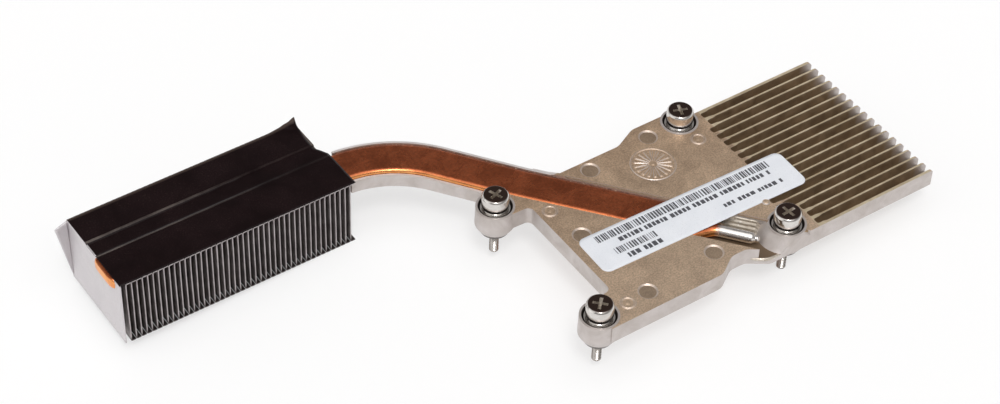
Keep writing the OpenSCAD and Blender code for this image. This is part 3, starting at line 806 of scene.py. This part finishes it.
grid, flap = end_fin_grid(), flap_grid()
notched = (grid[..., 1] > notch_front) & (grid[..., 1] < notch_back) & (grid[..., 2] > notch_floor + 0.1)
notched = notched.reshape(-1)
faces = [quad for quad in grid_faces(*grid.shape[:2]) if not notched[quad].all()]
faces += grid_faces(*flap.shape[:2], len(notched))
end_fin = make_mesh("end_fin", np.vstack([grid.reshape(-1, 3), flap.reshape(-1, 3)]), faces, sharp_angle=40)
edit_mesh(end_fin, lambda shape: bmesh.ops.delete(
    shape, geom=[point for point in shape.verts if not point.link_faces], context="VERTS"))
thicken(end_fin, sheet_thick)
end_metal, tree = new_tree("end_fin_sheet")
_, grain, blotch, speck = varied(tree, 1800.0, 90.0, 2600.0)
pale = mixed(tree, blotch, (0.60, 0.57, 0.585, 1), (0.68, 0.65, 0.66, 1))
surface(tree, mixed(tree, times(tree, speck, blotch), pale, (0.52, 0.49, 0.49, 1)), 0.7,
        between(tree, blotch, 0.42, 0.52), bumped(tree, grain, 0.1, 0.00004))
end_fin.data.materials.append(end_metal)
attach(end_fin, "cooler")
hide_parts("fin_end")

# ---- Insulating tape ----
# Glossy black film stuck over the stack. It sinks into the hollow behind the
# pipe, folds down at the back and lifts at its back right corner.
tape_thick, tape_fold, crease_front, crease_back = 0.15, 2.4, 59.4, 65.0


def tape_grid():
    """The film as a grid: along x, and across the stack from front to back and
    over the back edge. The height dips between two creases, with fine waves."""
    across = np.concatenate([np.linspace(47.6, 59.0, 20), np.linspace(59.2, 65.4, 22),
                             np.linspace(65.8, 74.5, 20)])
    drop = np.concatenate([np.zeros(len(across)), np.linspace(0.35, tape_fold, 6)])
    y = np.concatenate([across, np.full(6, 74.78)])
    right = np.interp(y, [47.6, 60.4, 62.4, 64.0, 68.3, 72.5, 75.5],
                      [-52.95, -53.1, -54.2, -55.3, -55.1, -54.8, -53.9])
    x = stack_left + np.linspace(0, 1, 110)[:, None] * (right - stack_left)
    y = np.broadcast_to(y, x.shape)
    flat = drop == 0
    hollow = 0.42 / (1 + np.exp(-(y - 59.7) / 0.22)) / (1 + np.exp((y - 64.7) / 0.22))
    hollow = hollow * np.interp(x, [-118.0, -85.0, -60.0], [1.0, 0.8, 0.4])
    ripple = 0.03 * np.sin(x * 0.9 + 0.6 * np.sin(y * 0.7)) * np.sin(y * 0.8 + 0.3)
    crease = np.exp(-((y - crease_front) / 0.18) ** 2) + np.exp(-((y - crease_back) / 0.18) ** 2)
    crease = 0.09 * crease * np.clip((-62 - x) / 40, 0.2, 1)
    lift = np.clip((x + 64.0) / 10.0, 0, 1) ** 2 * np.clip((y - 68.0) / 6.7, 0, 1) ** 1.8
    z = plate_top + tape_thick / 2 - drop + flat * (ripple + crease - hollow)
    z = z + 1.5 * lift + 0.16 * lift * np.sin(x * 2.1 + y * 1.3)
    return np.stack([x, y + 0.5 * lift, z], -1)


grid = tape_grid()
tape = make_mesh("black_tape", grid.reshape(-1, 3), grid_faces(*grid.shape[:2]), sharp_angle=60)
thicken(tape, tape_thick)
film, tree = new_tree("black_tape")
place, grain, blotch, speck = varied(tree, 900.0, 90.0, 3600.0)
at = parts(tree, place["Object"])
# Painted highlight: lighter lines along both creases, fading towards the right.
creases = [compared(tree, at["Y"], 0.001 * y, 0.00030) for y in (crease_front, crease_back)]
crease_highlight = calc(tree, "MAXIMUM", *creases)
crease_highlight = times(tree, crease_highlight, between(tree, blotch, 0.1, 0.9))
crease_highlight = times(tree, crease_highlight, ranged(tree, at["X"], -0.112, -0.066, 1.0, 0.12))
back_band = ranged(tree, at["Y"], 0.0735, 0.0745, 0.0, 0.8)
black = mixed(tree, blotch, (0.0045, 0.0012, 0.0016, 1), (0.0090, 0.0034, 0.0040, 1))
black = mixed(tree, times(tree, speck, between(tree, blotch, 0.0, 0.35)), black, (0.04, 0.028, 0.022, 1))
black = mixed(tree, crease_highlight, black, (0.12, 0.10, 0.09, 1))
black = mixed(tree, back_band, black, (0.09, 0.065, 0.055, 1))
surface(tree, black, 0.0, between(tree, blotch, 0.12, 0.24), bumped(tree, grain, 0.12, 0.0001),
        **{"Specular IOR Level": 0.14})
tape.data.materials.append(film)
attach(tape, "cooler")
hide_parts("insulating_tape")

# ---- Label ----
# A white paper label stuck across the plate, the pipe and the feet of the
# cast fins. Only plain bars and blocks are printed on it.
label_at, label_turn = np.array([11.75, -6.1]), math.radians(-1.45)
label_half_l, label_half_w, label_round, label_thick = 30.8, 6.4, 2.0, 0.10


def on_label(points, height):
    """Places points given along and across the label on its top."""
    along, across = np.asarray(points, float).T
    x = label_at[0] + along * math.cos(label_turn) - across * math.sin(label_turn)
    y = label_at[1] + along * math.sin(label_turn) + across * math.cos(label_turn)
    return np.stack([x, y, np.full(len(x), plate_top) + height], 1)


def label_grid():
    """Rows across the label; at its ends each row is as wide as the round
    corners leave it."""
    turn = np.linspace(0, math.pi / 2, 8)
    end = -label_half_l + label_round * (1 - np.cos(turn))
    end_half = label_half_w - label_round * (1 - np.sin(turn))
    along = np.concatenate([end, np.linspace(end[-1], -end[-1], 46)[1:-1], -end[::-1]])
    half = np.concatenate([end_half, np.full(44, label_half_w), end_half[::-1]])
    return np.broadcast_to(along[:, None], (60, 15)), half[:, None] * np.linspace(-1, 1, 15)


# The paper sags a little over the channel
along, across = label_grid()
paper_points = on_label(np.stack([along.ravel(), across.ravel()], 1), label_thick / 2)
from_channel = paper_points[:, :2] @ run_across - run_off
paper_points[:, 2] -= 0.05 * np.exp(-(from_channel / 3.5) ** 2)
paper = make_mesh("paper_label", paper_points, grid_faces(*along.shape), sharp_angle=60)
thicken(paper, label_thick)
paper_material, tree = new_tree("label_paper")
_, grain, blotch, speck = varied(tree, 3500.0, 110.0, 4600.0)
white = mixed(tree, blotch, (0.72, 0.745, 0.79, 1), (0.78, 0.80, 0.84, 1))
surface(tree, mixed(tree, speck, white, (0.66, 0.68, 0.72, 1)), 0.0, between(tree, blotch, 0.36, 0.5),
        bumped(tree, grain, 0.05, 0.00003))
paper.data.materials.append(paper_material)
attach(paper, "cooler")
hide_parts("label")


def bars(rng, start, stop, low, high, widths, gaps):
    """Upright bars of chosen widths and gaps side by side along the label."""
    boxes, at = [], start
    while at < stop:
        wide = rng.choice(widths)
        boxes.append((at, min(at + wide, stop), low, high))
        at += wide + rng.choice(gaps)
    return boxes


def words(rng, start, stop, low, high):
    """Plain blocks of uneven width in groups, as greeked words."""
    boxes, at, left = [], start, rng.integers(3, 7)
    while at < stop - 0.6:
        wide = rng.uniform(0.55, 1.25)
        boxes.append((at, min(at + wide, stop), low + rng.uniform(0, 0.12), high - rng.uniform(0, 0.12)))
        left -= 1
        at += wide + (rng.uniform(0.9, 1.3) if left == 0 else rng.uniform(0.3, 0.42))
        left = left or rng.integers(3, 7)
    return boxes


rng = np.random.default_rng(11)
printed = bars(rng, -26.5, 25.8, 2.95, 5.25, [0.18, 0.34, 0.5], [0.2, 0.32, 0.48])
printed += bars(rng, -24.5, -12.5, -2.5, -0.4, [0.16, 0.3, 0.45], [0.2, 0.35, 0.5])
for row in ((-21.5, 25.2, 0.75, 2.25), (-22.5, -12.0, -4.9, -3.3), (7.5, 26.3, -3.1, -1.8)):
    printed += words(rng, *row)
ink_points = [point for a, b, low, high in printed for point in ((a, low), (b, low), (b, high), (a, high))]
ink_faces = [list(range(start, start + 4)) for start in range(0, len(ink_points), 4)]
ink_thick = 0.02
print_marks = make_mesh("label_print", on_label(ink_points, label_thick + ink_thick), ink_faces, smooth=False)
thicken(print_marks, ink_thick)
ink, tree = new_tree("label_ink")
_, grain, blotch, _ = varied(tree, 3000.0, 500.0, 2500.0)
surface(tree, mixed(tree, grain, (0.030, 0.032, 0.040, 1), (0.11, 0.11, 0.125, 1)), 0.0,
        between(tree, blotch, 0.4, 0.55))
print_marks.data.materials.append(ink)
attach(print_marks, "cooler")

# ---- Captive screws ----
# Turned steel, nickel plated: a round head with a cross recess, a thin flange
# that rests on the spring, a shank through the boss and an M2.5 thread.
head_top, head_radius, flange_radius, shank_radius = 11.2, 3.45, 3.85, 2.0
thread_pitch, thread_depth, screw_columns = 0.45, 0.27, 72
screw_tip = [(0.0, -8.26), (0.7, -8.24), (0.92, -8.1)]
screw_shank = [(1.25, -2.12), (1.35, -2.06), (1.9, -2.06), (shank_radius, -1.98), (shank_radius, -1.5),
               (1.95, -1.46), (1.55, -1.46), (1.55, -0.83), (1.95, -0.80), (shank_radius, -0.74),
               (shank_radius, 5.9), (2.05, 6.05)]
screw_flange = [(3.75, 6.05), (flange_radius, 6.12), (flange_radius, 6.55), (3.78, 6.65), (3.0, 6.68),
                (2.95, 6.72)]
screw_head = [(2.95, 7.3), (3.0, 7.38), (3.3, 7.4), (3.42, 7.46), (head_radius, 7.58), (head_radius, 10.62),
              (3.41, 10.74), (3.08, 11.08), (2.98, 11.16), (2.84, head_top), (2.4, head_top),
              (1.2, head_top), (0.0, head_top)]
thread = [(1.22, z) for z in np.linspace(-7.9, -2.3, 94)]
screw_profile = np.array(screw_tip + thread + screw_shank + screw_flange + screw_head)


def screw_body(centre):
    """The profile of radius and height carried round the screw's axis, closed at
    both ends. A V groove that climbs one pitch a turn is pushed into the thread."""
    turn = round_angles(screw_columns)
    r, z = screw_profile[1:-1, 0][:, None], screw_profile[1:-1, 1][:, None]
    phase = (z / thread_pitch - turn / (2 * math.pi)) % 1.0
    ends = np.clip((z + 8.0) / 0.5, 0, 1) * np.clip((-2.2 - z) / 0.4, 0, 1)
    r = r - thread_depth * np.abs(2 * phase - 1) * ends
    rings = np.stack([centre[0] + r * np.cos(turn), centre[1] + r * np.sin(turn),
                      np.broadcast_to(z, r.shape)], -1)
    rows, last = len(z), (len(z) - 1) * screw_columns
    foot, crown = rows * screw_columns, rows * screw_columns + 1
    faces = tube_faces(rows, screw_columns)
    for j in range(screw_columns):
        after = (j + 1) % screw_columns
        faces += [[foot, after, j], [crown, last + j, last + after]]
    tips = [[*centre, screw_profile[0, 1]], [*centre, screw_profile[-1, 1]]]
    return np.vstack([rings.reshape(-1, 3), tips]), faces


def recess_cutter(centre, turn):
    """A cross whose arms taper: one plus-shaped outline, wider on each ring up."""
    cos, sin = math.cos(turn), math.sin(turn)
    points = []
    for z, reach, half in ((9.4, 0.62, 0.20), (10.2, 1.25, 0.31), (11.9, 2.45, 0.52)):
        plus = [(reach, -half), (reach, half), (half, half), (half, reach), (-half, reach), (-half, half),
                (-reach, half), (-reach, -half), (-half, -half), (-half, -reach), (half, -reach), (half, -half)]
        points += [(centre[0] + x * cos - y * sin, centre[1] + x * sin + y * cos, z) for x, y in plus]
    return points, tube_faces(3, 12) + [list(range(12))[::-1], list(range(24, 36))]


nickel, tree = new_tree("screw_nickel")
place, grain, blotch, _ = varied(tree, 2400.0, 420.0, 1800.0)
at = parts(tree, place["Object"])
level = at["Z"]
in_head = times(tree, ranged(tree, level, 0.0090, 0.0092), ranged(tree, level, 0.01104, 0.01116, 1.0, 0.0))
recess = times(tree, ranged(tree, from_screws(tree, at), 0.00262, 0.0027, 1.0, 0.0), in_head)
plated = mixed(tree, blotch, (0.62, 0.59, 0.56, 1), (0.74, 0.71, 0.68, 1))
# Painted highlight: the cross recess walls are lighter and warmer than the plating, for the glints in the
# recess.
plated = mixed(tree, recess, plated, mixed(tree, blotch, (0.34, 0.29, 0.24, 1), (0.62, 0.56, 0.48, 1)))
# Painted reflection: the head's top is coloured near black, as the reflection of a dark room; the thread below
# takes a duller grey.
thread_tone_and_top_shade = mixed(tree, ranged(tree, level, 0.01104, 0.01118), plated, (0.085, 0.055, 0.045, 1))
thread_tone_and_top_shade = mixed(tree, ranged(tree, level, -0.0016, -0.0026), thread_tone_and_top_shade, (0.50, 0.47, 0.44, 1))
rough = calc(tree, "ADD", between(tree, blotch, 0.12, 0.24), between(tree, recess, 0.0, 0.14))
surface(tree, thread_tone_and_top_shade, between(tree, recess, 1.0, 0.65), rough, bumped(tree, grain, 0.05, 0.00003))
recess_turns = [math.radians(a) for a in (20, 45, 70, 95)]
for k, centre in enumerate(screw_places, 1):
    screw = make_mesh(f"captive_screw_{k}", *screw_body(centre), smooth=False)
    carve(screw, *recess_cutter(centre, recess_turns[k - 1]))
    screw.data.polygons.foreach_set("use_smooth", [True] * len(screw.data.polygons))
    screw.data.set_sharp_from_angle(angle=math.radians(32))
    screw.data.materials.clear()
    screw.data.materials.append(nickel)
    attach(screw, f"captive_screw_{k}")
    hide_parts(f"screw_{k}")

# ---- Springs ----
# A coil of plated wire stands in each boss and lifts the screw by its flange.
# Both end coils are closed.
wire_radius, coil_radius, coil_turns = 0.25, 3.3, 4.5
spring_seat, flange_low, spring_play = 1.2, 6.05, 0.03
spring_low = spring_seat + spring_play + wire_radius
spring_high = flange_low - spring_play - wire_radius


def spring_grid(centre):
    """A wire's round section carried along a helix whose first and last turns
    climb one wire's width, and whose turns between share the rest."""
    turns = np.linspace(0, coil_turns, int(coil_turns * 40) + 1)[:, None]
    total, closed = spring_high - spring_low, 2 * wire_radius * 1.03
    rise = np.interp(turns, [0, 1, coil_turns - 1, coil_turns], [0, closed, total - closed, total])
    a, b = turns * 2 * math.pi, round_angles(12)
    r = coil_radius + wire_radius * np.cos(b)
    return np.stack([centre[0] + r * np.cos(a), centre[1] + r * np.sin(a),
                     spring_low + rise + wire_radius * np.sin(b)], -1)


wire, tree = new_tree("spring_wire")
_, grain, blotch, _ = varied(tree, 2600.0, 600.0, 2000.0)
surface(tree, mixed(tree, blotch, (0.48, 0.47, 0.47, 1), (0.60, 0.59, 0.60, 1)), 1.0,
        between(tree, grain, 0.2, 0.36))
for k, centre in enumerate(screw_places, 1):
    spring = closed_tube(f"coil_spring_{k}", spring_grid(centre), sharp_angle=50)
    spring.data.materials.append(wire)
    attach(spring, "cooler")
    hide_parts(f"spring_{k}")
    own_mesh(spring)

# ---- Retaining rings ----
# Open rings of spring steel snap into the groove of each screw under its
# boss, so that the screw can't fall out.
ring_steel, tree = new_tree("ring_steel")
_, grain, blotch, speck = varied(tree, 2800.0, 500.0, 1500.0)
dull = mixed(tree, blotch, (0.34, 0.33, 0.32, 1), (0.46, 0.45, 0.44, 1))
surface(tree, mixed(tree, speck, dull, (0.22, 0.19, 0.17, 1)), 1.0, between(tree, blotch, 0.3, 0.45),
        bumped(tree, grain, 0.1, 0.00003))
for k in range(1, 5):
    ring = merged_copy(f"retaining_ring_{k}", f"snap_ring_{k}")
    bevelled(ring, "stamped_edges", 0.00008, 40)
    ring.data.materials.append(ring_steel)
    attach(ring, f"ring_{k}")
    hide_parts(f"retaining_ring_{k}")
